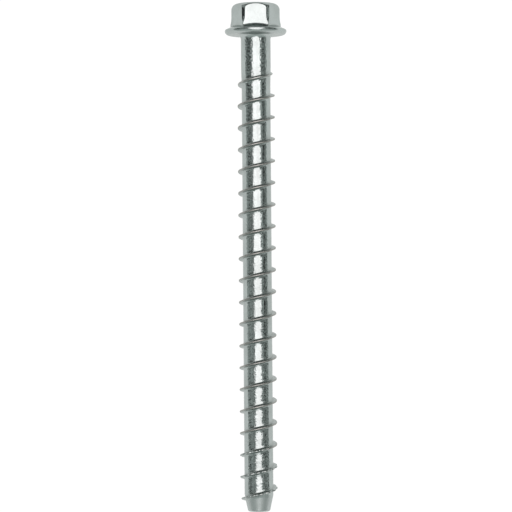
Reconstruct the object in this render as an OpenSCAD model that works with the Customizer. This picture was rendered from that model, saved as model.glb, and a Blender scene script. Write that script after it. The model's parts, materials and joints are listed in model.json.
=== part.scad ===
// Concrete screw with a hexagon flange head, forged and rolled from one steel bar.
// It is drawn along its own axis, head up, with the bearing face at height zero.
// It is then laid on the floor, where its flange rim and its last full crest touch.

/* [Shank] */
// Length from the bearing face to the end of the tip
screw_length = 203.2; // [120:0.1:320]
// Diameter of the plain shank under the head
shank_d = 12.7; // [11.6:0.1:14]
// Length of plain shank between the bearing face and the thread
plain_length = 12; // [4:0.1:60]
// Radius of the fillet between the shank and the bearing face
neck_radius = 1.9; // [0.4:0.1:2.5]

/* [Thread] */
// Diameter over the thread crests
thread_d = 15.9; // [14.2:0.1:18]
// Diameter of the bar between the turns
core_d = 12.3; // [10.5:0.1:13]
// Distance along the screw from one turn to the next
pitch = 9.3; // [5:0.1:14]
// Width of the flat along the crest
crest_width = 0.5; // [0.2:0.05:0.7]
// Width of the thread above the hollow at its foot
flank_width = 1.05; // [0.9:0.05:1.4]
// Width of the thread where the hollow meets the bar
root_width = 1.9; // [1.6:0.05:3]
// Height of the hollow at the foot of the thread
hollow_height = 0.45; // [0.2:0.05:0.8]
// Turns over which the thread rises out of the plain shank
runout_turns = 1.3; // [0.5:0.1:2.5]
// Turns over which the thread rises at the tip
lead_turns = 0.28; // [0.15:0.01:0.8]
// Angle of the thread's upper end around the screw
thread_clock = 138; // [0:1:359]

/* [Cutting teeth on the leading turns] */
// Turns at the tip that carry teeth
toothed_turns = 2.6; // [0.5:0.1:4]
// Depth of the notch between two teeth
tooth_depth = 0.65; // [0.2:0.05:0.9]
// Facets from one notch to the next
tooth_facets = 3; // [2:1:6]

/* [Tip] */
// Length of the tapered tip
taper_length = 7; // [4:0.1:20]
// Diameter that the taper runs out to at the end
tip_d = 9.3; // [6:0.1:10]
// Rounding of the edge at the end
tip_edge = 0.9; // [0.2:0.05:1.2]
// Distance from the end to where the thread starts
tip_gap = 2.7; // [2.3:0.1:8]

/* [Head] */
// Width of the hexagon across its flats
hex_af = 18.7; // [18.2:0.1:19.2]
// Diameter over the rounded corners of the hexagon
corner_d = 20.65; // [20.1:0.05:21.2]
// Diameter over the corners where they spread to the flange
skirt_d = 21.7; // [21.2:0.1:22.6]
// Height of the head above the bearing face
head_height = 13.3; // [10:0.1:20]
// Rounding of the crown, which bevels the corners
crown_radius = 2.7; // [1.2:0.1:4]
// Break of the crown's edge at the middle of a flat
crown_edge = 0.5; // [0.2:0.1:0.8]
// Radius of the hollow where the hexagon meets the flange
skirt_radius = 1; // [0.6:0.1:1.6]

/* [Flange] */
// Diameter of the round flange
flange_d = 26.4; // [25:0.1:32]
// Height of the flange at its rim
rim_height = 2.4; // [2.2:0.05:4]
// Rounding of the rim's upper edge
rim_radius = 0.75; // [0.4:0.05:1.2]
// Slope of the flange's upper side
flange_slope = 24; // [10:1:35]

/* [Hidden] */
$fn = 96;

// Facets in one turn and the points of one thread section
turn_steps = 40;
section_points = 6;

// Radii used along the screw
shank_r = shank_d / 2;
core_r = core_d / 2;
crest_r = thread_d / 2;
flange_r = flange_d / 2;
corner_r = corner_d / 2;
skirt_r = skirt_d / 2;

// The bar enters the plain shank a little way, a hair inside its skin
bar_entry = 1;
bar_skin = 0.03;

// The helix runs from under the plain shank down to the tip
thread_top = plain_length + root_width / 2 + 0.05;
thread_end = screw_length - tip_gap;
sections = round((thread_end - thread_top) / pitch * turn_steps);
runout_steps = runout_turns * turn_steps;
lead_steps = lead_turns * turn_steps;
toothed_from = sections - toothed_turns * turn_steps;
taper_top = screw_length - taper_length;

// The rim is rounded below, from its widest line down to the bearing face
rim_under = rim_height - rim_radius;

// Height of the flange's upper side at a given radius
rim_top_r = flange_r - rim_radius * (1 - sin(flange_slope));
rim_top_z = rim_height - rim_radius * (1 - cos(flange_slope));
function flange_z(r) = rim_top_z + (rim_top_r - r) * tan(flange_slope);
hex_base = flange_z(hex_af / 2);
skirt_z = flange_z(skirt_r);

// The crown's flat top, and how far its edge lies below the top at the middle of a flat
crown_r = corner_r - crown_radius;
crown_drop = crown_radius - sqrt(pow(crown_radius, 2) - pow(max(0, hex_af / 2 - crown_r), 2));

// Radius of the bar at a distance below the bearing face
function bar_r(s) =
  s < thread_top ? shank_r - bar_skin
  : s < thread_top + pitch
  ? shank_r - bar_skin + (core_r - shank_r + bar_skin) * (s - thread_top) / pitch
  : s < taper_top ? core_r
  : core_r + (tip_d / 2 - core_r) * (s - taper_top) / taper_length;

// One thread section: place across the ridge and share of its full height
hollow_share = hollow_height / (crest_r - core_r);
section_offset = [
  -root_width / 2,
  -flank_width / 2,
  -crest_width / 2,
  crest_width / 2,
  flank_width / 2,
  root_width / 2
];
section_share = [0, hollow_share, 1, 1, hollow_share, 0];

// Share of the full height at a section, which falls to nothing at both ends
function ridge_share(k) = min(
  sin(90 * min(1, k / runout_steps)),
  min(1, (sections - k) / lead_steps)
);
function notch(k, m) =
  section_share[m] == 1 && k > toothed_from && k % tooth_facets == 0
  ? tooth_depth * ridge_share(k)
  : 0;

function turn_angle(k) = thread_clock - 360 * k / turn_steps;
function around(r, angle, s) = [r * cos(angle), r * sin(angle), -s];
function ridge_point(k, m) =
  let (s = thread_top + pitch * k / turn_steps + section_offset[m])
  let (rise = (crest_r - core_r) * ridge_share(k) * section_share[m])
  around(bar_r(s) + rise - notch(k, m), turn_angle(k), s);

// Rings from the end of the thread over the rounded edge of the tip
edge_top = screw_length - tip_edge;
tip_rings = [
  [edge_top, bar_r(edge_top)],
  [screw_length - tip_edge * (1 - sin(45)), bar_r(edge_top) - tip_edge * (1 - cos(45))],
  [screw_length, bar_r(edge_top) - tip_edge]
];
end_r = bar_r(edge_top) - tip_edge;

// Place at rest: the rim's widest line and the last full crest on the under side touch the floor
last_under = floor((sections - lead_steps) / turn_steps - (thread_clock - 90) / 360);
under_turns = last_under + (thread_clock - 90) / 360;
rest_at = thread_top + pitch * under_turns;
rest_tilt = atan((flange_r - crest_r) / (rest_at + rim_under));
rest_lift = flange_r * cos(rest_tilt) - rim_under * sin(rest_tilt);
rest_shift = ((screw_length - head_height) * cos(rest_tilt)
  + (end_r - crown_r) * sin(rest_tilt)) / 2;

// Points on an arc about a centre
function arc(x, y, r, from, to, steps) =
  [for (i = [0 : steps]) let (a = from + (to - from) * i / steps) [x + r * cos(a), y + r * sin(a)]];

// A solid through six-sided rings, each given by its height and its width across flats
module hex_loft(rings) {
  points = [
    for (ring = rings)
      for (i = [0 : 5]) [ring[1] / sqrt(3) * cos(60 * i), ring[1] / sqrt(3) * sin(60 * i), ring[0]]
  ];
  sides = [
    for (j = [0 : len(rings) - 2])
      for (i = [0 : 5])
        [6 * j + i, 6 * (j + 1) + i, 6 * (j + 1) + (i + 1) % 6, 6 * j + (i + 1) % 6]
  ];
  floor_face = [for (i = [0 : 5]) i];
  top_face = [for (i = [5 : -1 : 0]) 6 * (len(rings) - 1) + i];
  polyhedron(points, concat([floor_face], sides, [top_face]));
}

// The flange, the fillet under it and the plain shank, turned as one profile
module flange_and_shank() {
  rim_turn = 90 - flange_slope;
  rotate_extrude()
    polygon(concat(
      [[0, hex_base], [0, -plain_length], [shank_r, -plain_length]],
      arc(shank_r + neck_radius, -neck_radius, neck_radius, 180, 90, 6),
      arc(flange_r - rim_under, rim_under, rim_under, -90, 0, 6),
      arc(flange_r - rim_radius, rim_under, rim_radius, rim_turn / 6, rim_turn, 5),
      [[hex_af / 2, hex_base]]
    ));
}

// The hexagon with a hollow at its foot and a broken edge at its top
module hexagon() {
  hex_loft([
    [hex_base - skirt_radius, hex_af + 2 * skirt_radius],
    [hex_base - 0.26 * skirt_radius, hex_af + 1.19 * skirt_radius],
    [hex_base, hex_af + 0.48 * skirt_radius],
    [hex_base + 0.31 * skirt_radius, hex_af + 0.12 * skirt_radius],
    [hex_base + 0.65 * skirt_radius, hex_af],
    [head_height - crown_drop - 0.8 * crown_edge, hex_af],
    [head_height - crown_drop + 0.2 * crown_edge, hex_af - 0.7 * crown_edge],
    [head_height, hex_af - 2 * crown_edge]
  ]);
}

// The turned envelope that bevels the hexagon's corners and lets them spread towards the flange
module corner_envelope() {
  waist = rim_top_z + 0.47 * (head_height - rim_top_z);
  function spread(low) = [corner_r + (skirt_r - corner_r) * pow(low, 1.7), waist - (waist - skirt_z) * low];
  rotate_extrude()
    polygon(concat(
      [
        [0, 0],
        [skirt_r + 0.6 * skirt_radius, 0],
        [skirt_r + 0.6 * skirt_radius, skirt_z - 0.4 * skirt_radius],
        [skirt_r + 0.25 * skirt_radius, skirt_z - 0.1 * skirt_radius],
        [skirt_r, skirt_z + 0.15 * skirt_radius]
      ],
      [for (low = [0.9, 0.65, 0.4, 0.2, 0]) spread(low)],
      arc(crown_r, head_height - crown_radius, crown_radius, 0, 90, 7),
      [[0, head_height]]
    ));
}

// The rolled bar: thread, core and tapered tip as one skin wound along the helix
module threaded_bar() {
  n = turn_steps;
  last = sections;
  m_last = section_points - 1;
  rings = len(tip_rings);
  points = concat(
    [for (i = [0 : n - 1]) around(shank_r - bar_skin, turn_angle(i), plain_length - bar_entry)],
    [for (k = [0 : last]) for (m = [0 : m_last]) ridge_point(k, m)],
    [
      for (ring = tip_rings)
        for (i = [0 : n - 1]) around(ring[1], turn_angle(last - n + i), ring[0])
    ]
  );
  function id(k, m) = n + k * section_points + m;
  function tip_id(j, i) = n + (last + 1) * section_points + j * n + i % n;
  function quad(a, b, c, d) = [[a, b, c], [a, c, d]];
  function fan(centre, rim) = [for (i = [0 : len(rim) - 2]) [centre, rim[i], rim[i + 1]]];
  // The upper end: a ring inside the plain shank, joined to the first turn and closed along its seam
  upper_seam = concat(
    [id(n - 1, 0), id(n, 0)],
    [for (m = [m_last : -1 : 0]) id(0, m)],
    [0]
  );
  upper = concat(
    [[for (i = [0 : n - 1]) i]],
    [for (i = [0 : n - 2]) each quad(i, id(i, 0), id(i + 1, 0), i + 1)],
    fan(n - 1, upper_seam)
  );
  // The ridge itself and the bar between one turn and the next
  ridge = [
    for (k = [0 : last - 1])
      for (m = [0 : m_last - 1]) each quad(id(k, m), id(k, m + 1), id(k + 1, m + 1), id(k + 1, m))
  ];
  bar = [
    for (k = [0 : last - n - 1])
      each quad(id(k, m_last), id(k + n, 0), id(k + n + 1, 0), id(k + 1, m_last))
  ];
  // The lower end: the last turn joined to the rings of the tip
  lower_seam = concat(
    [id(last - n, m_last)],
    [for (m = [0 : m_last]) id(last, m)],
    [tip_id(0, 0), tip_id(0, 1)]
  );
  lower = concat(
    fan(id(last - n + 1, m_last), lower_seam),
    [
      for (i = [1 : n - 1])
        each quad(
          id(last - n + i, m_last), tip_id(0, i), tip_id(0, i + 1), id(last - n + i + 1, m_last)
        )
    ],
    [
      for (j = [0 : rings - 2])
        for (i = [0 : n - 1])
          each quad(tip_id(j, i), tip_id(j + 1, i), tip_id(j + 1, i + 1), tip_id(j, i + 1))
    ],
    [[for (i = [n - 1 : -1 : 0]) tip_id(rings - 1, i)]]
  );
  polyhedron(points, concat(upper, ridge, bar, lower));
}

// The whole screw, laid down with its head towards -X and one flat of the hexagon up
module screw() {
  color([0.74, 0.76, 0.76])
    translate([-rest_shift, 0, rest_lift])
      rotate([0, rest_tilt, 0])
        rotate([-90, 0, 0])
          rotate([0, -90, 0]) {
            flange_and_shank();
            intersection() {
              hexagon();
              corner_envelope();
            }
            threaded_bar();
          }
}

screw();
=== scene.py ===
"""Concrete screw lying at rest: its forged and rolled skin, its zinc finish and the stage around it."""

import json
import math
from collections import namedtuple

import bpy
from bpy.props import FloatProperty, FloatVectorProperty, IntProperty, PointerProperty
from mathutils import Matrix, Vector, noise


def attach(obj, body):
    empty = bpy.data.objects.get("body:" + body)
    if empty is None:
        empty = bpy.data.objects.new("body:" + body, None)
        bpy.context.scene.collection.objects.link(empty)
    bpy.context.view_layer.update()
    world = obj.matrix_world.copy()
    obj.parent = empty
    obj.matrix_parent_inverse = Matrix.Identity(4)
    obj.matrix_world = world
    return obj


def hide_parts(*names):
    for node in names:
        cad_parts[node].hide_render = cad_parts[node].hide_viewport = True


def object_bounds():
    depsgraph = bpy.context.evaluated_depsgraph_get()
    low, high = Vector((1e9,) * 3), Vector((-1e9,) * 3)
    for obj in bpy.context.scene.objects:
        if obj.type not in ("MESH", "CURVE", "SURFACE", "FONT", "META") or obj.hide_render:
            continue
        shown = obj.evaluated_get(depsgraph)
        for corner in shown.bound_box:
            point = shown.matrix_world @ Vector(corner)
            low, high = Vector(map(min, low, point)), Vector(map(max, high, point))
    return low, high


bl_info = {
    "name": "Concrete Screw",
    "version": (1, 0, 0),
    "blender": (4, 5, 0),
    "location": "View3D > Sidebar > Concrete Screw",
    "description": "Builds a zinc plated concrete screw with a hexagon flange head, and a stage for it",
    "category": "Object",
}

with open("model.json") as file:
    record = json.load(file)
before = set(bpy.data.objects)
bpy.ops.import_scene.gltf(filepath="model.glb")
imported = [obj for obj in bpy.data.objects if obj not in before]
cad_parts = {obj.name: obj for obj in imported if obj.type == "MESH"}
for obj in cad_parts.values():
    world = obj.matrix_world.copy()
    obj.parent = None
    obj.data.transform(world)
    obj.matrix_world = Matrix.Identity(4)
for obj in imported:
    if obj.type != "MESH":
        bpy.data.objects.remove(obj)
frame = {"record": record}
CAD_BOX = [list(corner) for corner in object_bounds()]
MOUNTS = {mount["name"]: mount for mount in frame["record"]["mounts"]}
MM = 0.001


# Sizes, finish and stage that a user would change


def length(name, description, default_mm):
    return FloatProperty(
        name=name, description=description, default=default_mm * MM, min=0.0, precision=5,
        subtype="DISTANCE", unit="LENGTH",
    )


def angle(name, description, default_deg):
    return FloatProperty(
        name=name, description=description, default=math.radians(default_deg),
        subtype="ANGLE", unit="ROTATION",
    )


def share(name, description, default):
    return FloatProperty(
        name=name, description=description, default=default, min=0.0, max=1.0, subtype="FACTOR"
    )


def plain_number(name, description, default):
    return FloatProperty(name=name, description=description, default=default, min=0.0)


def colour(name, description, default):
    return FloatVectorProperty(
        name=name, description=description, default=default, size=3, min=0.0, max=1.0,
        subtype="COLOR",
    )


class ShankSizes(bpy.types.PropertyGroup):
    """Plain shank, bar and tip"""

    screw_length: length("Length", "From the bearing face to the end of the tip", 203.2)
    shank_d: length("Shank diameter", "Diameter of the plain shank under the head", 12.7)
    plain_length: length("Plain length", "Plain shank between the bearing face and the thread", 12.0)
    neck_radius: length("Neck fillet", "Fillet between the shank and the bearing face", 1.9)
    taper_length: length("Taper length", "Length of the tapered tip", 7.0)
    tip_d: length("Tip diameter", "Diameter that the taper runs out to at the end", 9.3)
    tip_edge: length("Tip edge", "Rounding of the edge at the end", 0.9)


class ThreadSizes(bpy.types.PropertyGroup):
    """Rolled thread and its cutting teeth"""

    thread_d: length("Thread diameter", "Diameter over the thread crests", 15.9)
    core_d: length("Core diameter", "Diameter of the bar between the turns", 12.3)
    pitch: length("Pitch", "Distance along the screw from one turn to the next", 9.3)
    root_width: length("Root width", "Width of the thread where its hollow meets the bar", 1.9)
    tip_gap: length("Tip gap", "Distance from the end to where the thread starts", 2.7)
    runout_turns: plain_number("Run-out turns", "Turns over which the thread leaves the shank", 1.3)
    lead_turns: plain_number("Lead turns", "Turns over which the thread rises at the tip", 0.28)
    clock: angle("Clock", "Angle of the thread's upper end around the screw", 138.0)
    toothed_turns: plain_number("Toothed turns", "Turns at the tip that carry teeth", 2.6)
    tooth_depth: length("Tooth depth", "Depth of the notch between two teeth", 0.65)
    tooth_step: angle("Tooth step", "Angle from one notch to the next", 27.0)
    mark_height: length("Rolling mark", "Height of the faint rolled line between two turns", 0.02)
    turn_steps: IntProperty(
        name="Steps in a turn", description="Facets around the screw", default=120, min=60, max=240
    )


class HeadSizes(bpy.types.PropertyGroup):
    """Hexagon and flange"""

    hex_af: length("Across flats", "Width of the hexagon across its flats", 18.7)
    corner_d: length("Across corners", "Diameter over the rounded corners", 20.65)
    head_height: length("Head height", "Height of the head above the bearing face", 13.3)
    crown_radius: length("Crown radius", "Rounding of the crown, which bevels the corners", 2.7)
    skirt_radius: length("Skirt fillet", "Hollow where the hexagon meets the flange", 1.0)
    skirt_d: length("Skirt diameter", "Diameter over the corners where they spread to the flange", 21.7)
    flange_d: length("Flange diameter", "Diameter of the round flange", 26.4)
    rim_height: length("Rim height", "Height of the flange at its rim", 2.4)
    rim_radius: length("Rim rounding", "Rounding of the rim's upper edge", 0.75)
    flange_slope: angle("Flange slope", "Slope of the flange's upper side", 24.0)


class ZincFinish(bpy.types.PropertyGroup):
    """Bright zinc plate with the marks of plating and handling, and painted shade in its hollows and on its
    crests
    """

    plate: colour("Plate", "Colour of the clean plate", (0.405, 0.45, 0.437))
    cloud: colour("Cloud", "Colour of the duller clouds in the plate", (0.35, 0.388, 0.375))
    # painted shade: the rubbed crests' colour is also darkened to stand in for the dark reflection along
    # their edges
    burnish_and_painted_shade: colour("Burnished", "Colour of the rubbed thread crests", (0.35, 0.347, 0.324))
    # painted shade: this darker colour is painted into the hollows at the foot of the thread and into the
    # skirt's fillet, where shade falls
    foot: colour("Foot", "Colour of the dull hollow at the foot of the thread", (0.30, 0.325, 0.31))
    frost: colour("Frost", "Colour of the matt plate on the tip and the rolled lines", (0.46, 0.5, 0.487))
    edge: colour("Edge", "Tint of what the plate reflects at a grazing angle", (0.82, 0.83, 0.825))
    smooth: share("Smooth", "Roughness of the clean plate", 0.08)
    dull: share("Dull", "Roughness of the duller clouds", 0.13)
    peel_size: length("Peel size", "Size of the ripples in the plate", 0.8)
    peel_height: length("Peel height", "Height of the ripples in the plate", 0.08)


class StageSettings(bpy.types.PropertyGroup):
    """Floor, lamps and camera"""

    camera_distance: length("Camera distance", "From the screw's axis to the camera", 980.0)
    camera_station: length("Camera station", "Place of the camera below the bearing face", 102.7)
    aim_station: length("Aim station", "Place below the bearing face at the picture's middle", 94.4)
    aim_side: FloatProperty(
        name="Aim side", description="Place beside the axis at the picture's middle",
        default=-0.54 * MM, subtype="DISTANCE", unit="LENGTH",
    )
    view_width: length("View width", "Width of the picture at the screw", 218.55)
    roll: angle("Roll", "Turn of the camera about its own axis", -0.42)
    floor: colour("Floor", "Colour of the floor", (0.82, 0.82, 0.82))
    softbox: plain_number("Softbox", "Brightness of the softbox overhead", 2.14)
    side_panel: plain_number("Side panel", "Brightness of the small panel towards the tip", 1.2)
    surround: plain_number("Surround", "Brightness of the dim room", 0.19)
    beyond: plain_number("Beyond", "Brightness of the room beyond the tip", 0.65)


def sizes_of(group, *names):
    """Lengths of a property group in millimetres, as the profiles below use them"""
    return [getattr(group, name) / MM for name in names]


# The screw's own frame: the bearing face at zero, the head above it and the tip below


class ScrewFrame:
    """Places a point of the screw's own frame in the row frame, from the record's mounts"""

    def __init__(self):
        face = Vector(MOUNTS["bearing_face"]["pos_m"])
        drive = Vector(MOUNTS["hexagon_drive"]["pos_m"])
        self.tipward = Vector(MOUNTS["bearing_face"]["axis"]).normalized()
        self.origin = drive + self.tipward * (face - drive).dot(self.tipward)
        self.headward = -self.tipward
        up = Vector((0.0, 0.0, 1.0))
        self.front = (up - self.tipward * up.dot(self.tipward)).normalized()
        self.right = (-self.front).cross(self.headward)

    def place(self, right, back, head):
        return (
            self.origin
            + self.right * (right * MM)
            - self.front * (back * MM)
            + self.headward * (head * MM)
        )

    def polar(self, radius, degrees, head):
        turn = math.radians(degrees)
        return self.place(radius * math.cos(turn), radius * math.sin(turn), head)


# Mesh of the screw

# Masks that the mesh carries for the finish: rubbed crests with painted shade and painted glints, painted
# shade at the feet, drawn bar, matt plate, rolled bar
MASKS = ("crest", "foot", "shank", "dull", "rolled")


def soft_min(a, b, blend):
    """The smaller of two radii, with the edge between them rounded"""
    overlap = max(blend - abs(a - b), 0.0) / blend
    return min(a, b) - overlap * overlap * blend / 4


def soft_step(low, high, value):
    """Nothing at the low end and one at the high end, with a smooth rise between them"""
    t = min(max((value - low) / (high - low), 0.0), 1.0)
    return t * t * (3 - 2 * t)


def arc_angles(first, last, steps):
    """Angles in radians along an arc that is given in degrees"""
    return [math.radians(first + (last - first) * i / steps) for i in range(steps + 1)]


class Skin:
    """Points, faces and surface masks of the mesh"""

    def __init__(self, place):
        self.place = place
        self.points = []
        self.faces = []
        self.masks = {name: [] for name in MASKS}

    def point(self, radius, degrees, head, crest=0.0, foot=0.0, shank=0.0, dull=0.0, rolled=0.0):
        self.points.append(self.place.polar(radius, degrees, head))
        for name, value in zip(MASKS, (crest, foot, shank, dull, rolled)):
            self.masks[name].append(value)
        return len(self.points) - 1

    def bridge(self, upper, lower):
        """Quads between two closed rings that run the same way round"""
        count = len(upper)
        for i in range(count):
            j = (i + 1) % count
            self.faces.append((upper[i], upper[j], lower[j], lower[i]))

    def fan(self, ring, centre, above):
        """Closes a ring with triangles to a centre"""
        count = len(ring)
        for i in range(count):
            j = (i + 1) % count
            self.faces.append((centre, ring[j], ring[i]) if above else (centre, ring[i], ring[j]))

    def zip_columns(self, first, second):
        """Triangles between two columns of points that start and end level, each as (height, index)"""
        i = j = 0
        while i < len(first) - 1 or j < len(second) - 1:
            step_first = j == len(second) - 1 or (
                i < len(first) - 1 and first[i + 1][0] >= second[j + 1][0]
            )
            if step_first:
                self.faces.append((first[i][1], second[j][1], first[i + 1][1]))
                i += 1
            else:
                self.faces.append((first[i][1], second[j][1], second[j + 1][1]))
                j += 1

    def levels(self, indices):
        """Points with their heights along the screw in millimetres, each as (height, index)"""
        origin, headward = self.place.origin, self.place.headward
        return [((self.points[i] - origin).dot(headward) / MM, i) for i in indices]

    def object(self, name):
        mesh = bpy.data.meshes.new(name)
        mesh.from_pydata(self.points, [], self.faces)
        for mask, values in self.masks.items():
            layer = mesh.attributes.new(mask, "FLOAT", "POINT")
            layer.data.foreach_set("value", values)
        mesh.validate()
        mesh.shade_smooth()
        made = bpy.data.objects.new(name, mesh)
        bpy.context.scene.collection.objects.link(made)
        return made


# Head

# Points around a corner of the hexagon, in degrees from the corner
CORNER_SPREAD = (
    -30, -22, -15, -10, -6.5, -4.6, -3.4, -2.6, -1.8, -0.9,
    0, 0.9, 1.8, 2.6, 3.4, 4.6, 6.5, 10, 15, 22,
)
# Share of the hexagon's height where its corners start to spread, and how the spread grows from there
WAIST_SHARE = 0.47
SPREAD_POWER = 1.7
# Rounding in millimetres of a corner's edges, and what is added to it at the crown
CORNER_BLEND = 0.1
CROWN_BLEND = 0.3
# The skirt: its inset in millimetres, where a flat turns into it, how far its fillet shrinks at a corner
# and how much painted shade darkens that fillet
SKIRT_INSET = 0.1
SKIRT_FROM = 0.7
FILLET_LOSS = 0.1
SKIRT_PAINTED_SHADE = 0.3
# How far the points on the flange and on its rim turn from the hexagon's spacing to an even one
FLANGE_EVENED = 0.6
RIM_EVENED = 0.7
# How matt the flange is underneath, and where on the neck's fillet that starts to fade, in degrees
UNDERSIDE_MATT = 0.9
NECK_MATT_TO = 110
# Where the rings of points lie, as shares of the top, a flat, the flange, its underside and the shank
TOP_RINGS = (0.25, 0.55, 0.8, 0.94)
FLAT_RINGS = (0.1, 0.25, 0.4, 0.54, 0.66, 0.76, 0.85, 0.93, 1.0)
FLANGE_RINGS = (0.3, 0.65)
UNDERSIDE_RINGS = (0.1, 0.3, 0.5, 0.7, 0.9)
SHANK_RINGS = (0.04, 0.12, 0.25, 0.4, 0.55, 0.7, 0.85, 0.95, 1.0)
# Steps around the crown, the skirt's fillet, the rim above and below its widest place, and the neck
CROWN_STEPS = 15
SKIRT_STEPS = 7
UPPER_RIM_STEPS = 7
LOWER_RIM_STEPS = 9
NECK_STEPS = 9

Foot = namedtuple("Foot", "radius height fillet reach")


def head_angles(count, clock):
    """Angles around the head, close together at the corners, and even ones in step with the thread"""
    if count != 6 * len(CORNER_SPREAD):
        raise ValueError("the steps in a turn must be six times the points at a corner")
    rising = sorted(60 * corner + spread for corner in range(6) for spread in CORNER_SPREAD)
    falling = rising[::-1]
    even = [clock - 360 * i / count for i in range(count)]
    start = min(range(count), key=lambda i: abs((falling[i] - clock + 180) % 360 - 180))
    turned = falling[start:] + falling[:start]
    cornered = [guess + 360 * round((wanted - guess) / 360) for guess, wanted in zip(turned, even)]
    return cornered, even


class HeadForm:
    """Sizes of the head in millimetres, and the curves that follow from them"""

    def __init__(self, head, shank):
        across_flats, corner_d, self.top, self.crown, self.fillet, skirt_d = sizes_of(
            head, "hex_af", "corner_d", "head_height", "crown_radius", "skirt_radius", "skirt_d"
        )
        flange_d, rim_height, self.upper_rim = sizes_of(head, "flange_d", "rim_height", "rim_radius")
        shank_d, self.plain, self.neck = sizes_of(shank, "shank_d", "plain_length", "neck_radius")
        self.half_flats, self.corner_r, self.skirt_r = across_flats / 2, corner_d / 2, skirt_d / 2
        self.flange_r, self.shank_r = flange_d / 2, shank_d / 2
        self.lower_rim = rim_height - self.upper_rim
        self.slope = head.flange_slope
        self.fall = math.pi / 2 - self.slope
        self.rim_top_r = self.flange_r - self.upper_rim * (1 - math.sin(self.slope))
        self.rim_top_z = rim_height - self.upper_rim * (1 - math.cos(self.slope))
        self.waist = self.rim_top_z + WAIST_SHARE * (self.top - self.rim_top_z)

    def flange_z(self, radius):
        """Height of the flange's upper side"""
        return self.rim_top_z + (self.rim_top_r - radius) * math.tan(self.slope)

    def over_corners(self, z):
        """Radius over the corners, which spread towards the flange"""
        low = min(max(self.waist - z, 0.0) / (self.waist - self.flange_z(self.skirt_r)), 1.0)
        return self.corner_r + (self.skirt_r - self.corner_r) * low ** SPREAD_POWER

    def hexagon_r(self, degrees, over_corners, blend=CORNER_BLEND):
        """Radius of the hexagon in a direction, cut off by the radius over its corners"""
        off_flat = math.radians(degrees % 60 - 30)
        return soft_min(self.half_flats / math.cos(off_flat), over_corners, blend)

    def foot(self, degrees):
        """Where the hexagon ends above the flange, with its fillet and how far that reaches"""
        beyond_flats = self.hexagon_r(degrees, self.corner_r) - self.half_flats
        fillet = self.fillet * (1 - FILLET_LOSS * beyond_flats / (self.corner_r - self.half_flats))
        radius = self.hexagon_r(degrees, self.skirt_r - SKIRT_INSET)
        reach = radius + fillet * (1 - math.cos(self.fall))
        return Foot(radius, self.flange_z(reach) + fillet * math.sin(self.fall), fillet, reach)


def crown_rings(skin, form, angles):
    """The flat top and the rounded crown, which bevels the corners"""
    inner, low = form.corner_r - form.crown, form.top - form.crown
    rings = [[skin.point(part * inner, a, form.top) for a in angles] for part in TOP_RINGS]
    for turn in arc_angles(90, 0, CROWN_STEPS):
        over, z = inner + form.crown * math.cos(turn), low + form.crown * math.sin(turn)
        blend = CORNER_BLEND + CROWN_BLEND * math.sin(turn)
        rings.append([skin.point(form.hexagon_r(a, over, blend), a, z) for a in angles])
    return rings


def flat_rings(skin, form, angles, feet):
    """The flats and corners, from the crown down to their foot"""
    high = form.top - form.crown
    rings = []
    for part in FLAT_RINGS:
        ring = []
        for a, foot in zip(angles, feet):
            z = high + (foot.height - high) * part
            radius = form.hexagon_r(a, form.over_corners(z))
            radius += (foot.radius - radius) * soft_step(SKIRT_FROM, 1.0, part)
            ring.append(skin.point(radius, a, z))
        rings.append(ring)
    return rings


def skirt_rings(skin, form, angles, feet):
    """The hollow fillet where the hexagon meets the flange"""
    rings = []
    for turn in arc_angles(0, math.degrees(form.fall), SKIRT_STEPS)[1:]:
        # painted shade: the fillet's colour darkens towards the middle of its hollow
        dull = SKIRT_PAINTED_SHADE * math.sin(math.pi * turn / form.fall)
        ring = []
        for a, foot in zip(angles, feet):
            radius = foot.radius + foot.fillet * (1 - math.cos(turn))
            ring.append(skin.point(radius, a, foot.height - foot.fillet * math.sin(turn), foot=dull))
        rings.append(ring)
    return rings


def flange_rings(skin, form, angles, even, feet):
    """The flange's upper slope, where the points start to turn to an even spacing"""
    rings = []
    for part in FLANGE_RINGS:
        ring = []
        for a, e, foot in zip(angles, even, feet):
            radius = foot.reach + (form.rim_top_r - foot.reach) * part
            ring.append(skin.point(radius, a + (e - a) * part * FLANGE_EVENED, form.flange_z(radius)))
        rings.append(ring)
    return rings


def rim_rings(skin, form, angles):
    """The rounded rim, which turns matt below its widest place"""
    upper = arc_angles(90 - math.degrees(form.slope), 0, UPPER_RIM_STEPS)
    lower = arc_angles(0, -90, LOWER_RIM_STEPS)[1:]
    rings = []
    for rounding, turns in ((form.upper_rim, upper), (form.lower_rim, lower)):
        for turn in turns:
            radius = form.flange_r - rounding + rounding * math.cos(turn)
            z = form.lower_rim + rounding * math.sin(turn)
            matt = UNDERSIDE_MATT * soft_step(form.lower_rim, 0.0, z)
            rings.append([skin.point(radius, a, z, dull=matt) for a in angles])
    return rings


def underside_rings(skin, form, angles, even):
    """The bearing face under the flange"""
    outer, inner = form.flange_r - form.lower_rim, form.shank_r + form.neck
    rings = []
    for part in UNDERSIDE_RINGS:
        radius = outer + (inner - outer) * part
        turned = [a + (e - a) * part for a, e in zip(angles, even)]
        rings.append([skin.point(radius, a, 0.0, dull=UNDERSIDE_MATT) for a in turned])
    return rings


def neck_rings(skin, form, even):
    """The fillet under the flange and the plain shank below it"""
    rings = []
    for turn in arc_angles(90, 180, NECK_STEPS):
        radius = form.shank_r + form.neck + form.neck * math.cos(turn)
        z = -form.neck + form.neck * math.sin(turn)
        bright = soft_step(NECK_MATT_TO, 180, math.degrees(turn))
        matt = UNDERSIDE_MATT * (1 - bright)
        rings.append([skin.point(radius, e, z, shank=bright, dull=matt) for e in even])
    for part in SHANK_RINGS:
        below = form.neck + (form.plain - form.neck) * part
        rings.append([skin.point(form.shank_r, e, -below, shank=1.0) for e in even])
    return rings


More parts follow.
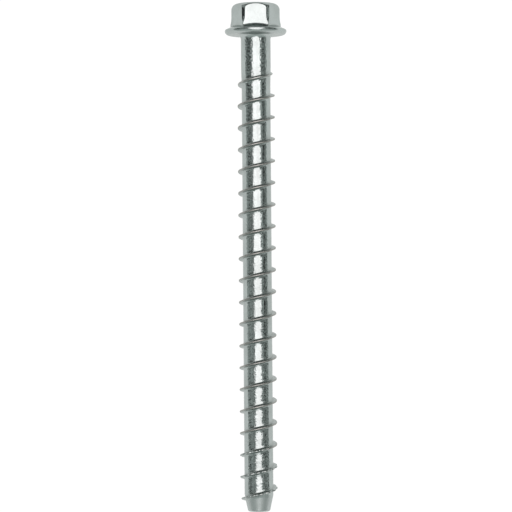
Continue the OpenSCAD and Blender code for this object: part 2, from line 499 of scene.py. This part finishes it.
def build_head(skin, head, shank, clock, count):
    """Hexagon, flange, fillet and plain shank, down to the ring where the thread takes over"""
    form = HeadForm(head, shank)
    cornered, even = head_angles(count, clock)
    turned = [a + (e - a) * RIM_EVENED for a, e in zip(cornered, even)]
    feet = [form.foot(a) for a in cornered]
    rings = [
        *crown_rings(skin, form, cornered),
        *flat_rings(skin, form, cornered, feet),
        *skirt_rings(skin, form, cornered, feet),
        *flange_rings(skin, form, cornered, even, feet),
        *rim_rings(skin, form, turned),
        *underside_rings(skin, form, turned, even),
        *neck_rings(skin, form, even),
    ]
    for upper, lower in zip(rings, rings[1:]):
        skin.bridge(upper, lower)
    skin.fan(rings[0], skin.point(0.0, 0.0, form.top), above=True)
    return rings[-1]


# Thread and tip

# One side of the ridge, from its foot to its crest: the place across it as a share of half its root width,
# its rise as a share of its height, how far it is rubbed, with painted shade in the rubbed colour, and how
# much painted shade darkens it at the foot
RIDGE_SIDE = (
    (1.00, 0.0, 0.0, 0.6), (0.90, 0.018, 0.0, 0.8), (0.79, 0.07, 0.0, 1.0), (0.68, 0.145, 0.0, 0.8),
    (0.58, 0.235, 0.0, 0.4), (0.51, 0.37, 0.0, 0.1), (0.445, 0.55, 0.1, 0.0), (0.38, 0.715, 0.2, 0.0),
    (0.325, 0.89, 0.5, 0.0), (0.27, 0.972, 0.9, 0.0), (0.15, 0.996, 1.0, 0.0),
)
# The painted shade in the hollow at the foot is lighter on the side of the tip
TIP_SIDE_PAINTED_SHADE = 0.3
RIDGE = (
    *((-across, rise, crest, foot) for across, rise, crest, foot in RIDGE_SIDE),
    (0.0, 1.0, 1.0, 0.0),
    *((across, rise, crest, TIP_SIDE_PAINTED_SHADE * foot) for across, rise, crest, foot in reversed(RIDGE_SIDE)),
)
# The bar between two turns: places across it, and how far the rolled line stands up there
STRIP = (
    (0.14, 0.0), (0.3, 0.0), (0.45, 0.0), (0.475, 0.6), (0.5, 1.0),
    (0.525, 0.6), (0.55, 0.0), (0.7, 0.0), (0.86, 0.0),
)
# Distance in millimetres from the plain shank to the ridge
RIDGE_GAP = 0.05
# Steps in a turn of the solid's thread, whose last step this ridge ends on
SOLID_STEPS = 40
# Waves of the crest: their height in millimetres, their length in steps and the line of noise they follow
WAVE_HEIGHT = 0.035
WAVE_STEPS = 9.0
WAVE_LINE = 3.7
# Share of the ridge's height where the waves and notches of the crest start, and where they are full
CREST_SPAN = (0.5, 0.95)
# Rolled line: the stretch of the thread where it comes in, its mean strength, its noise and how matt it is
MARK_SPAN = (0.2, 0.7)
MARK_MEAN = 0.6
MARK_STEPS = 40.0
MARK_LINE = 9.1
MARK_MATT = 0.6
# How matt the flanks are, how far a notch escapes rubbing so that it shows a painted glint, and how far the
# toothed turns are rubbed, less so that they show painted glints
FLANK_MATT = 0.9
NOTCH_UNWORN_GLINT = 0.8
TOOTHED_RUB_AND_GLINT = 0.4
# Turns over which the marks of the rolling dies come in, and millimetres over which the tip turns matt
ROLLED_TURNS = 2.5
TIP_BLEND = 1.0
# Distance in millimetres between points down a plain stretch of the bar
COLUMN_STEP = 1.5
# Steps around the edge of the tip, and rings on its end as shares of the end's radius
TIP_STEPS = 6
END_RINGS = (0.9, 0.65, 0.35)


class ThreadForm:
    """Sizes of the thread and its bar in millimetres, and the curves along them"""

    def __init__(self, thread, shank):
        thread_d, core_d, self.pitch, self.root, gap, self.tooth, self.mark = sizes_of(
            thread, "thread_d", "core_d", "pitch", "root_width", "tip_gap", "tooth_depth", "mark_height"
        )
        self.total, shank_d, plain, self.taper, tip_d, self.edge = sizes_of(
            shank, "screw_length", "shank_d", "plain_length", "taper_length", "tip_d", "tip_edge"
        )
        self.crest_r, self.core_r = thread_d / 2, core_d / 2
        self.shank_r, self.tip_r = shank_d / 2, tip_d / 2
        self.strip = self.pitch - self.root
        self.taper_top, self.edge_top = self.total - self.taper, self.total - self.edge
        self.clock = math.degrees(thread.clock)
        self.tooth_step = math.degrees(thread.tooth_step)
        self.first = plain + self.root / 2 + RIDGE_GAP
        self.steps = thread.turn_steps
        turns = (self.total - gap - self.first) / self.pitch
        self.last = round(turns * SOLID_STEPS) * self.steps // SOLID_STEPS
        self.runout, self.lead = thread.runout_turns * self.steps, thread.lead_turns * self.steps
        self.toothed = self.last - thread.toothed_turns * self.steps

    def bar_r(self, below):
        """Radius of the bar at a distance below the bearing face"""
        if below < self.taper_top:
            narrowed = soft_step(self.first, self.first + self.pitch, below)
            return self.shank_r + (self.core_r - self.shank_r) * narrowed
        return self.core_r + (self.tip_r - self.core_r) * (below - self.taper_top) / self.taper

    def drawn(self, below):
        """How far the finish of the bar shows, which the pointed tip has less of"""
        return 1 - soft_step(self.taper_top - TIP_BLEND, self.taper_top + TIP_BLEND, below)

    def rolled(self, below):
        """How far the marks of the rolling dies show, which the plain shank has none of"""
        return soft_step(self.first, self.first + ROLLED_TURNS * self.pitch, below)

    def turn(self, step):
        """Angle around the screw, in degrees"""
        return self.clock - 360 * step / self.steps

    def middle(self, step):
        """Distance of the ridge's middle below the bearing face"""
        return self.first + self.pitch * step / self.steps

    def fullness(self, step):
        """How much of its full height the ridge has, with the run-out and the lead at its ends"""
        runout = math.sin(math.pi / 2 * min(1.0, step / self.runout))
        return min(runout, min(1.0, (self.last - step) / self.lead))

    def notch(self, step):
        """Depth of the gap between two teeth"""
        if step <= self.toothed:
            return 0.0
        half = self.tooth_step / 2
        off = abs((360 * step / self.steps + half) % self.tooth_step - half)
        return self.tooth * max(0.0, 1 - off / (self.tooth_step / 3)) * self.fullness(step)


def ridge_points(skin, form, step):
    """Points across the ridge, from the head's side to the tip's"""
    full, notch = form.fullness(step), form.notch(step)
    wave = WAVE_HEIGHT * noise.noise(Vector((step / WAVE_STEPS, WAVE_LINE, 0.0)))
    # painted glint: notches and toothed turns take less of the crests' darker colour, so they glint
    rubbed = full * (1 - NOTCH_UNWORN_GLINT * notch / form.tooth)
    if step > form.toothed:
        rubbed *= TOOTHED_RUB_AND_GLINT
    made = []
    for across, rise, crest, foot in RIDGE:
        below = form.middle(step) + across * form.root / 2
        worn = (wave - notch) * soft_step(*CREST_SPAN, rise)
        height = full * ((form.crest_r - form.core_r) * rise + worn)
        flank = full * (1 - abs(2 * rise - 1))
        made.append(skin.point(
            form.bar_r(below) + max(0.0, height), form.turn(step), -below, crest=crest * rubbed,
            foot=foot * full, shank=1.0, dull=FLANK_MATT * flank, rolled=form.rolled(below),
        ))
    return made


def strip_points(skin, form, step):
    """Points across the bar between a turn and the next one, with the rolled line along its middle"""
    top = form.middle(step) + form.root / 2
    width = min(form.strip, form.edge_top - top)
    marked = MARK_MEAN + noise.noise(Vector((step / MARK_STEPS, MARK_LINE, 0.0)))
    marked *= soft_step(*MARK_SPAN, step / form.last) * width / form.strip
    made = []
    for part, lift in STRIP:
        below = top + width * part
        drawn = form.drawn(below)
        radius = form.bar_r(below) + form.mark * marked * lift
        dull = max(MARK_MATT * marked * lift, 1 - drawn)
        made.append(skin.point(
            radius, form.turn(step), -below, shank=drawn, dull=dull, rolled=form.rolled(below),
        ))
    return made


def wind_rows(skin, form, rows):
    """Quads along the helix, and from the end of each row to the start of the row a turn below"""
    for row, after in zip(rows, rows[1:]):
        for m in range(len(row) - 1):
            skin.faces.append((row[m], after[m], after[m + 1], row[m + 1]))
    for step in range(form.last - form.steps):
        below = step + form.steps
        skin.faces.append((rows[step][-1], rows[step + 1][-1], rows[below + 1][0], rows[below][0]))


def column(skin, form, upper, lower, degrees):
    """Points down the bar from one point to another, each as (height, index)"""
    (high, _), (low, _) = skin.levels([upper, lower])
    between = int((high - low) / COLUMN_STEP)
    inner = []
    for j in range(1, between + 1):
        z = high + (low - high) * j / (between + 1)
        drawn = form.drawn(-z)
        inner.append(skin.point(
            form.bar_r(-z), degrees, z, shank=drawn, dull=1 - drawn, rolled=form.rolled(-z),
        ))
    return skin.levels([upper, *inner, lower])


def join_shank(skin, form, rows, ring):
    """The bar between the plain shank's last ring and the first turn"""
    columns = [column(skin, form, ring[k], rows[k][0], form.turn(k)) for k in range(form.steps)]
    columns.append(columns[0] + skin.levels([*rows[0][1:], rows[form.steps][0]]))
    for first, second in zip(columns, columns[1:]):
        skin.zip_columns(first, second)


def tip_rings(skin, form, angles):
    """The rounded edge and the flat end of the tip"""
    edge_r = form.bar_r(form.edge_top)
    rings = []
    for turn in arc_angles(0, 90, TIP_STEPS):
        radius = edge_r - form.edge * (1 - math.cos(turn))
        below = form.edge_top + form.edge * math.sin(turn)
        rings.append([skin.point(radius, a, -below, dull=1.0) for a in angles])
    for part in END_RINGS:
        radius = (edge_r - form.edge) * part
        rings.append([skin.point(radius, a, -form.total, dull=1.0) for a in angles])
    return rings


def close_tip(skin, form, rows):
    """The taper below the last turn, and the end of the tip"""
    last_turn = rows[-1 - form.steps:-1]
    angles = [form.turn(form.last - form.steps + i) for i in range(form.steps)]
    rings = tip_rings(skin, form, angles)
    columns = [
        column(skin, form, last_turn[i][-1], rings[0][i], angles[i]) for i in range(1, form.steps)
    ]
    start = skin.levels([last_turn[0][-1], *rows[-1]])
    start += column(skin, form, rows[-1][-1], rings[0][0], form.turn(form.last))[1:]
    thread_end = skin.levels(rows[-1])[-1][0]
    finish = [pair for pair in start if pair[0] <= thread_end]
    columns = [start, *columns, finish]
    for first, second in zip(columns, columns[1:]):
        skin.zip_columns(first, second)
    for upper, lower in zip(rings, rings[1:]):
        skin.bridge(upper, lower)
    skin.fan(rings[-1], skin.point(0.0, 0.0, -form.total, dull=1.0), above=False)


def build_thread(skin, thread, shank, top_ring):
    """Thread, bar and tapered tip, wound along the helix from the ring under the plain shank"""
    form = ThreadForm(thread, shank)
    rows = [
        ridge_points(skin, form, step) + strip_points(skin, form, step) for step in range(form.last + 1)
    ]
    wind_rows(skin, form, rows)
    join_shank(skin, form, rows, top_ring)
    close_tip(skin, form, rows)


# Zinc finish

# How far each mask takes its own colour; the foot's colour is painted shade and the crest's is partly
# painted shade
CLOUD_TINT = 0.8
FOOT_PAINTED_SHADE = 0.6
CREST_TINT = 0.9
# What each mask adds to the roughness of the clean plate
SPECK_ROUGH = 0.05
ROLLED_SPECK_ROUGH = 0.03
ROLLED_ROUGH = 0.02
FOOT_ROUGH = 0.15
MATT_ROUGH = 0.28
CREST_ROUGH = 0.26
# Shares of the ripples on the head, what the shank adds and rolling takes away, and that of the drawn lines
HEAD_RIPPLE = 0.35
SHANK_RIPPLE = 0.95
ROLLED_RIPPLE = -0.6
LINE_HEIGHT = 0.35
# The drawn lines: how dense their noise is along the screw and across it, in a millimetre
LINE_STRETCH = (0.06, 2.6, 2.6)


def node(tree, kind, **settings):
    made = tree.nodes.new(kind)
    for name, value in settings.items():
        setattr(made, name, value)
    return made


def feed(tree, socket, value):
    """Gives a socket a link, a colour or a plain number"""
    if isinstance(value, bpy.types.NodeSocket):
        tree.links.new(value, socket)
    elif socket.type == "RGBA":
        socket.default_value = (*value, 1.0)
    else:
        socket.default_value = value


def calculate(tree, operation, *values):
    made = node(tree, "ShaderNodeMath", operation=operation)
    for socket, value in zip(made.inputs, values):
        feed(tree, socket, value)
    return made.outputs[0]


def mix_colour(tree, factor, first, second):
    """A mix of two colours, by the sockets that a mix node keeps for colours"""
    mixed = node(tree, "ShaderNodeMix", data_type="RGBA", clamp_factor=True)
    for index, value in ((0, factor), (6, first), (7, second)):
        feed(tree, mixed.inputs[index], value)
    return mixed.outputs[2]


def noise_texture(tree, vector, scale, detail, roughness=0.5):
    made = node(tree, "ShaderNodeTexNoise")
    labels = ("Vector", "Scale", "Detail", "Roughness")
    for label, value in zip(labels, (vector, scale, detail, roughness)):
        feed(tree, made.inputs[label], value)
    return made.outputs["Fac"]


def remap(tree, value, from_range, to_range=(0.0, 1.0), kind="LINEAR"):
    """A value spread from one range over another, and held at its ends"""
    made = node(tree, "ShaderNodeMapRange", clamp=True, interpolation_type=kind)
    labels = ("Value", "From Min", "From Max", "To Min", "To Max")
    for label, given in zip(labels, (value, *from_range, *to_range)):
        feed(tree, made.inputs[label], given)
    return made.outputs["Result"]


def mask_of(tree, name):
    return node(tree, "ShaderNodeAttribute", attribute_type="GEOMETRY", attribute_name=name).outputs["Fac"]


def group_with(name, inputs, outputs):
    """A shader node group with its sockets, and its input and output nodes"""
    tree = bpy.data.node_groups.new(name, "ShaderNodeTree")
    for label, kind in inputs.items():
        tree.interface.new_socket(label, in_out="INPUT", socket_type=kind)
    for label in outputs:
        tree.interface.new_socket(label, in_out="OUTPUT", socket_type="NodeSocketFloat")
    return tree, tree.nodes.new("NodeGroupInput"), tree.nodes.new("NodeGroupOutput")


def plating_group():
    """Clouds, fine specks and ripples of a zinc plate, for a vector in millimetres"""
    tree, given, result = group_with(
        "Zinc plating",
        {"Vector": "NodeSocketVector", "Ripple Size": "NodeSocketFloat"},
        ("Cloud", "Speck", "Ripple"),
    )
    vector = given.outputs["Vector"]
    cloud = noise_texture(tree, vector, scale=0.16, detail=5.0, roughness=0.6)
    speck = noise_texture(tree, vector, scale=0.8, detail=3.0)
    density = calculate(tree, "DIVIDE", 1.0, given.outputs["Ripple Size"])
    ripple = noise_texture(tree, vector, scale=density, detail=0.5)
    feed(tree, result.inputs["Cloud"], remap(tree, cloud, (0.38, 0.66)))
    feed(tree, result.inputs["Speck"], remap(tree, speck, (0.46, 0.64)))
    feed(tree, result.inputs["Ripple"], ripple)
    return tree


def drawing_group():
    """Fine lines that drawing the bar leaves along it, for a vector in millimetres"""
    tree, given, result = group_with("Drawn bar lines", {"Vector": "NodeSocketVector"}, ("Line",))
    stretch = node(tree, "ShaderNodeVectorMath", operation="MULTIPLY")
    stretch.inputs[1].default_value = LINE_STRETCH
    feed(tree, stretch.inputs[0], given.outputs["Vector"])
    feed(tree, result.inputs["Line"], noise_texture(tree, stretch.outputs[0], scale=1.0, detail=3.0))
    return tree


def zinc_material(finish):
    """Zinc plate with clouds and ripples, rubbed crests partly darkened with painted shade, and painted
    shade in the hollows at the foot of the thread
    """
    material = bpy.data.materials.new("bright_zinc_plate")
    material.use_nodes = True
    tree = material.node_tree
    shader = tree.nodes["Principled BSDF"]
    shader.inputs["Metallic"].default_value = 1.0
    shader.inputs["Specular Tint"].default_value = (*finish.edge, 1.0)
    place = node(tree, "ShaderNodeTexCoord")
    in_mm = node(tree, "ShaderNodeVectorMath", operation="SCALE")
    in_mm.inputs["Scale"].default_value = 1 / MM
    feed(tree, in_mm.inputs[0], place.outputs["Object"])
    plating = node(tree, "ShaderNodeGroup", node_tree=plating_group())
    plating.inputs["Ripple Size"].default_value = finish.peel_size / MM
    drawn = node(tree, "ShaderNodeGroup", node_tree=drawing_group())
    for texture in (plating, drawn):
        feed(tree, texture.inputs["Vector"], in_mm.outputs[0])
    crest, foot, shank, dull, rolled = (mask_of(tree, name) for name in MASKS)
    cloud, speck, ripple = (plating.outputs[name] for name in ("Cloud", "Speck", "Ripple"))

    tint = mix_colour(tree, calculate(tree, "MULTIPLY", cloud, CLOUD_TINT), finish.plate, finish.cloud)
    tint = mix_colour(tree, dull, tint, finish.frost)
    # painted shade in the hollows at the foot of the thread and in the skirt's fillet
    tint = mix_colour(tree, calculate(tree, "MULTIPLY", foot, FOOT_PAINTED_SHADE), tint, finish.foot)
    # rubbed crests, darkened further as painted shade for the dark reflection along their edges
    tint = mix_colour(tree, calculate(tree, "MULTIPLY", crest, CREST_TINT), tint, finish.burnish_and_painted_shade)
    feed(tree, shader.inputs["Base Color"], tint)

    rough = calculate(tree, "MULTIPLY_ADD", cloud, finish.dull - finish.smooth, finish.smooth)
    mottle = calculate(tree, "MULTIPLY_ADD", rolled, ROLLED_SPECK_ROUGH, SPECK_ROUGH)
    for mask, added in (
        (speck, mottle), (rolled, ROLLED_ROUGH), (foot, FOOT_ROUGH), (dull, MATT_ROUGH),
        (crest, CREST_ROUGH),
    ):
        rough = calculate(tree, "MULTIPLY_ADD", mask, added, rough)
    feed(tree, shader.inputs["Roughness"], rough)

    lines = calculate(tree, "MULTIPLY", drawn.outputs["Line"], LINE_HEIGHT)
    lines = calculate(tree, "MULTIPLY", lines, shank)
    calmed = calculate(tree, "MULTIPLY_ADD", rolled, ROLLED_RIPPLE, SHANK_RIPPLE)
    rippled = calculate(tree, "MULTIPLY_ADD", shank, calmed, HEAD_RIPPLE)
    bump = node(tree, "ShaderNodeBump")
    bump.inputs["Strength"].default_value = 1.0
    bump.inputs["Distance"].default_value = finish.peel_height
    feed(tree, bump.inputs["Height"], calculate(tree, "MULTIPLY_ADD", ripple, rippled, lines))
    feed(tree, shader.inputs["Normal"], bump.outputs["Normal"])
    return material


# Operators

# Lamps: their places and sizes in metres, and their colour
SOFTBOX_PLACE = (-0.3, 0.07, 1.4)
SOFTBOX_SIZE = (1.44, 1.7)
SIDE_PANEL_PLACE = (0.72, 0.05, 1.4)
SIDE_PANEL_SIZE = (0.6, 0.8)
LAMP_COLOUR = (1.0, 0.92, 0.94)
# Floor: its reach in metres, the light that the eye and the metal see of it, and that light's share
FLOOR_REACH = 40.0
FLOOR_GLOW = 1.08
FLOOR_GLOW_SHARE = 0.9
# Room: its colour, how dense its patches are, the noise they span, and their light against the surround
ROOM_COLOUR = (0.93, 1.0, 0.98)
PATCH_DENSITY = 6.5
PATCH_NOISE = (0.44, 0.58)
PATCH_LIGHT = (0.03, 3.1)
# How far towards the tip a direction points where the room starts to turn paler, and where it is palest
BEYOND_SPAN = (0.08, 0.6)
# Camera: the width of its film in millimetres, and how far it sees in metres
FILM_WIDTH = 36.0
SIGHT = 100.0


class CONCRETE_SCREW_OT_make_screw(bpy.types.Operator):
    """Build the screw's skin over its solid, with its zinc finish"""

    bl_idname = "concrete_screw.make_screw"
    bl_label = "Make Screw"

    def execute(self, context):
        scene = context.scene
        thread, shank = scene.concrete_screw_thread, scene.concrete_screw_shank
        skin = Skin(ScrewFrame())
        clock = math.degrees(thread.clock)
        ring = build_head(skin, scene.concrete_screw_head, shank, clock, thread.turn_steps)
        build_thread(skin, thread, shank, ring)
        screw = skin.object("screw_skin")
        screw.data.materials.append(zinc_material(scene.concrete_screw_finish))
        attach(screw, "root")
        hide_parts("screw")
        return {"FINISHED"}


class CONCRETE_SCREW_OT_set_stage(bpy.types.Operator):
    """Set the floor, the lamps, the room and the camera around the screw"""

    bl_idname = "concrete_screw.set_stage"
    bl_label = "Set Stage"

    def execute(self, context):
        stage = context.scene.concrete_screw_stage
        self.floor(stage)
        self.room(context.scene, stage)
        self.lamp("softbox", stage.softbox, SOFTBOX_PLACE, SOFTBOX_SIZE)
        self.lamp("side_panel", stage.side_panel, SIDE_PANEL_PLACE, SIDE_PANEL_SIZE)
        self.camera(context.scene, stage)
        context.scene.view_settings.view_transform = "Standard"
        return {"FINISHED"}

    def floor(self, stage):
        """A wide pale floor, white to the eye and in the metal, that keeps the screw's shadow"""
        mesh = bpy.data.meshes.new("floor")
        low = CAD_BOX[0][2]
        sides = ((-1, -1), (1, -1), (1, 1), (-1, 1))
        corners = [(x * FLOOR_REACH, y * FLOOR_REACH, low) for x, y in sides]
        mesh.from_pydata(corners, [], [(0, 1, 2, 3)])
        material = bpy.data.materials.new("pale_floor")
        material.use_nodes = True
        tree = material.node_tree
        tree.nodes.remove(tree.nodes["Principled BSDF"])
        matt = node(tree, "ShaderNodeBsdfDiffuse")
        matt.inputs["Color"].default_value = (*stage.floor, 1.0)
        glow = node(tree, "ShaderNodeEmission")
        glow.inputs["Strength"].default_value = FLOOR_GLOW
        path = node(tree, "ShaderNodeLightPath")
        seen = calculate(tree, "MAXIMUM", path.outputs["Is Camera Ray"], path.outputs["Is Glossy Ray"])
        seen = calculate(tree, "MAXIMUM", seen, path.outputs["Is Transmission Ray"])
        mixed = node(tree, "ShaderNodeMixShader")
        feed(tree, mixed.inputs[0], calculate(tree, "MULTIPLY", seen, FLOOR_GLOW_SHARE))
        feed(tree, mixed.inputs[1], matt.outputs[0])
        feed(tree, mixed.inputs[2], glow.outputs[0])
        feed(tree, tree.nodes["Material Output"].inputs["Surface"], mixed.outputs[0])
        mesh.materials.append(material)
        made = bpy.data.objects.new("floor", mesh)
        bpy.context.scene.collection.objects.link(made)

    def room(self, scene, stage):
        """A dim, uneven room for the metal to mirror, paler beyond the tip"""
        world = bpy.data.worlds.new("room")
        world.use_nodes = True
        tree = world.node_tree
        dim = tree.nodes["Background"]
        dim.inputs["Color"].default_value = (*ROOM_COLOUR, 1.0)
        way = node(tree, "ShaderNodeTexCoord").outputs["Generated"]
        patches = noise_texture(tree, way, scale=PATCH_DENSITY, detail=1.0)
        uneven = remap(tree, patches, PATCH_NOISE, [light * stage.surround for light in PATCH_LIGHT])
        apart = node(tree, "ShaderNodeSeparateXYZ")
        feed(tree, apart.inputs[0], way)
        lit = remap(tree, apart.outputs["X"], BEYOND_SPAN, (uneven, stage.beyond), kind="SMOOTHSTEP")
        feed(tree, dim.inputs["Strength"], lit)
        scene.world = world

    def lamp(self, name, brightness, place, size):
        """An oval lamp of a given brightness that shines down"""
        light = bpy.data.lights.new(name, "AREA")
        light.shape = "ELLIPSE"
        light.size, light.size_y = size
        area = math.pi / 4 * size[0] * size[1]
        light.energy = brightness * math.pi * area
        light.color = LAMP_COLOUR
        made = bpy.data.objects.new(name, light)
        made.location = place
        made.visible_camera = False
        bpy.context.scene.collection.objects.link(made)

    def camera(self, scene, stage):
        """A camera that looks down on the screw, with its head at the top of the picture"""
        screw = ScrewFrame()
        eye = screw.place(0.0, 0.0, -stage.camera_station / MM) + screw.front * stage.camera_distance
        aim = screw.place(stage.aim_side / MM, 0.0, -stage.aim_station / MM)
        away = (eye - aim).normalized()
        up = (screw.headward - away * screw.headward.dot(away)).normalized()
        up = Matrix.Rotation(stage.roll, 3, away) @ up
        right = up.cross(away)
        lens = bpy.data.cameras.new("camera")
        lens.sensor_width = FILM_WIDTH
        lens.lens = FILM_WIDTH * (eye - aim).length / stage.view_width
        lens.clip_end = SIGHT
        made = bpy.data.objects.new("camera", lens)
        turn = Matrix((right, up, away)).transposed().to_4x4()
        made.matrix_world = Matrix.Translation(eye) @ turn
        scene.collection.objects.link(made)
        scene.camera = made


class CONCRETE_SCREW_PT_sidebar(bpy.types.Panel):
    """Sizes, finish and stage of the screw"""

    bl_idname = "CONCRETE_SCREW_PT_sidebar"
    bl_label = "Concrete Screw"
    bl_space_type = "VIEW_3D"
    bl_region_type = "UI"
    bl_category = "Concrete Screw"

    def draw(self, context):
        for label in GROUPS:
            box = self.layout.box()
            settings = getattr(context.scene, label)
            box.label(text=type(settings).__doc__)
            for name in type(settings).__annotations__:
                box.prop(settings, name)
        self.layout.operator(CONCRETE_SCREW_OT_make_screw.bl_idname)
        self.layout.operator(CONCRETE_SCREW_OT_set_stage.bl_idname)


GROUPS = {
    "concrete_screw_shank": ShankSizes,
    "concrete_screw_thread": ThreadSizes,
    "concrete_screw_head": HeadSizes,
    "concrete_screw_finish": ZincFinish,
    "concrete_screw_stage": StageSettings,
}
CLASSES = (
    *GROUPS.values(),
    CONCRETE_SCREW_OT_make_screw,
    CONCRETE_SCREW_OT_set_stage,
    CONCRETE_SCREW_PT_sidebar,
)


def register():
    for made in CLASSES:
        bpy.utils.register_class(made)
    for label, group in GROUPS.items():
        setattr(bpy.types.Scene, label, PointerProperty(type=group))


def unregister():
    for label in GROUPS:
        delattr(bpy.types.Scene, label)
    for made in reversed(CLASSES):
        bpy.utils.unregister_class(made)


def main():
    register()
    bpy.ops.concrete_screw.make_screw()
    bpy.ops.concrete_screw.set_stage()


if __name__ == "__main__":
    main()
